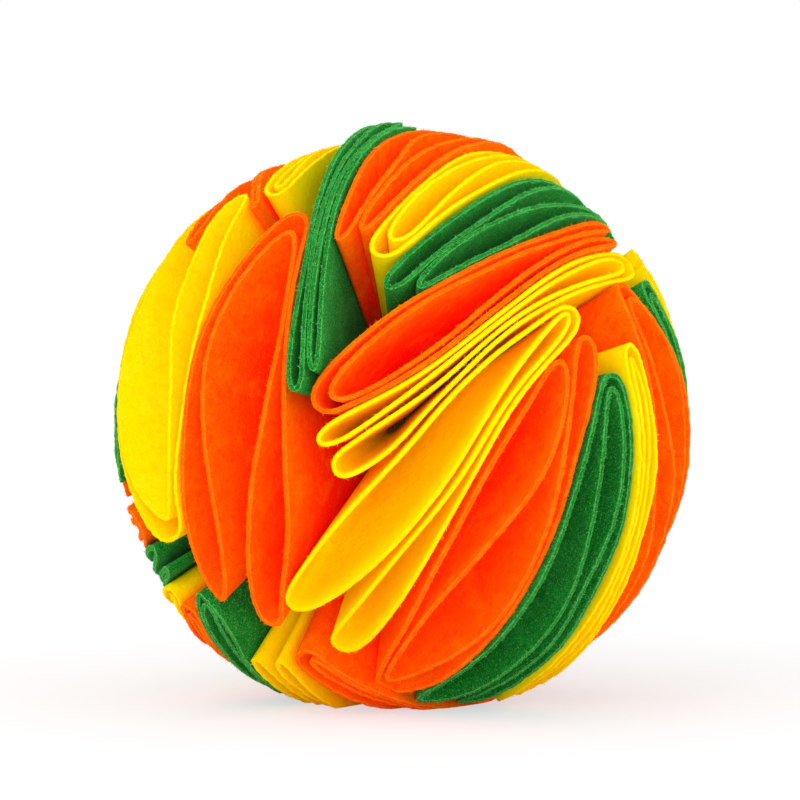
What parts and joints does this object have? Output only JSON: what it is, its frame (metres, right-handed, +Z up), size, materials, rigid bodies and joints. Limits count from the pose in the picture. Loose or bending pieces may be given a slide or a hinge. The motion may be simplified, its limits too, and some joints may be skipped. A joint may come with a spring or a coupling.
{
  "type": "felt snuffle ball",
  "caption": "Soft dog toy ball: round felt discs in orange, yellow and green, folded in four and tied at their tips, so that treats hide between the folds.",
  "frame": {"origin": "on the ground under the centre of the ball", "axes": "+Z up; -Y is the side that the picture shows; +X to the right in the picture"},
  "size_m": [0.1487, 0.1496, 0.1497],
  "materials": {
    "felt_orange": "orange wool-like felt, heathered, cut edges",
    "felt_yellow": "yellow wool-like felt, heathered, cut edges",
    "felt_green": "green wool-like felt, heathered, cut edges",
    "cord": "undyed cord"
  },
  "bodies": {
    "root": {"felt_orange_left": "felt_orange", "felt_yellow_centre": "felt_yellow", "felt_orange_band": "felt_orange", "felt_yellow_band": "felt_yellow", "felt_green_top_right": "felt_green", "felt_yellow_top_right": "felt_yellow", "felt_orange_top": "felt_orange", "felt_green_top": "felt_green", "felt_yellow_top_left": "felt_yellow", "felt_orange_top_left": "felt_orange", "felt_yellow_left": "felt_yellow", "felt_orange_centre": "felt_orange", "felt_green_right": "felt_green", "felt_yellow_right": "felt_yellow", "felt_orange_right": "felt_orange", "felt_green_bottom_left": "felt_green", "felt_orange_bottom_left": "felt_orange", "felt_yellow_bottom": "felt_yellow", "felt_orange_bottom": "felt_orange", "felt_yellow_bottom_left": "felt_yellow", "felt_green_small_left": "felt_green", "felt_orange_small_left": "felt_orange", "felt_green_far_left": "felt_green", "felt_orange_back_left": "felt_orange", "felt_yellow_back_left": "felt_yellow", "felt_green_far_right": "felt_green", "felt_yellow_far_right": "felt_yellow", "felt_orange_back_right": "felt_orange", "felt_green_back_right": "felt_green", "felt_yellow_back": "felt_yellow", "felt_orange_back": "felt_orange", "felt_green_back": "felt_green", "tie_cord": "cord"}
  },
  "joints": []
}
